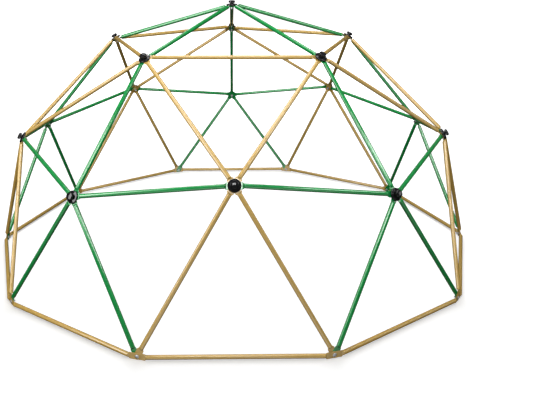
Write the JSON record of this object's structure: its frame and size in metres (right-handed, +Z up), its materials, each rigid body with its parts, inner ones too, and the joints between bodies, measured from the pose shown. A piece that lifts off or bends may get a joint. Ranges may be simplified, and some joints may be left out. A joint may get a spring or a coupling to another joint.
{
  "type": "dome climber",
  "caption": "Geodesic dome climbing frame of straight painted steel tubes bolted at covered joints, for children to climb on and through.",
  "frame": {"origin": "on the ground, under the top joint", "axes": "+Z up, -Y towards the front six-way joint of the middle ring, +X to the right seen from the front"},
  "size_m": [3.6874, 3.5413, 1.8955],
  "materials": {
    "gold_paint": "metallic satin, pale gold",
    "green_paint": "metallic gloss, green",
    "black_plastic": "gloss",
    "zinc_plate": "zinc plated"
  },
  "bodies": {
    "root": {"base_bolt": "zinc_plate", "cap_nut": "zinc_plate", "crown_tube_1": "green_paint", "crown_tube_2": "green_paint", "crown_tube_3": "green_paint", "crown_tube_4": "green_paint", "crown_tube_5": "green_paint", "ground_tube_1": "gold_paint", "ground_tube_10": "gold_paint", "ground_tube_2": "gold_paint", "ground_tube_3": "gold_paint", "ground_tube_4": "gold_paint", "ground_tube_5": "gold_paint", "ground_tube_6": "gold_paint", "ground_tube_7": "gold_paint", "ground_tube_8": "gold_paint", "ground_tube_9": "gold_paint", "joint_bolt": "zinc_plate", "leg_pair_1": "green_paint", "leg_pair_10": "gold_paint", "leg_pair_2": "gold_paint", "leg_pair_3": "green_paint", "leg_pair_4": "gold_paint", "leg_pair_5": "green_paint", "leg_pair_6": "gold_paint", "leg_pair_7": "green_paint", "leg_pair_8": "gold_paint", "leg_pair_9": "green_paint", "middle_joint_cap": "black_plastic", "middle_joint_disc": "black_plastic", "middle_ring_tube_1": "green_paint", "middle_ring_tube_10": "green_paint", "middle_ring_tube_2": "green_paint", "middle_ring_tube_3": "green_paint", "middle_ring_tube_4": "green_paint", "middle_ring_tube_5": "green_paint", "middle_ring_tube_6": "green_paint", "middle_ring_tube_7": "green_paint", "middle_ring_tube_8": "green_paint", "middle_ring_tube_9": "green_paint", "top_joint_cap": "black_plastic", "top_joint_disc": "black_plastic", "upper_brace_pair_1": "gold_paint", "upper_brace_pair_2": "gold_paint", "upper_brace_pair_3": "gold_paint", "upper_brace_pair_4": "gold_paint", "upper_brace_pair_5": "gold_paint", "upper_joint_cap": "black_plastic", "upper_joint_disc": "black_plastic", "upper_rib_tube_1": "green_paint", "upper_rib_tube_2": "green_paint", "upper_rib_tube_3": "green_paint", "upper_rib_tube_4": "green_paint", "upper_rib_tube_5": "green_paint", "upper_ring_tube_1": "gold_paint", "upper_ring_tube_2": "gold_paint", "upper_ring_tube_3": "gold_paint", "upper_ring_tube_4": "gold_paint", "upper_ring_tube_5": "gold_paint", "washer": "zinc_plate"}
  },
  "joints": []
}
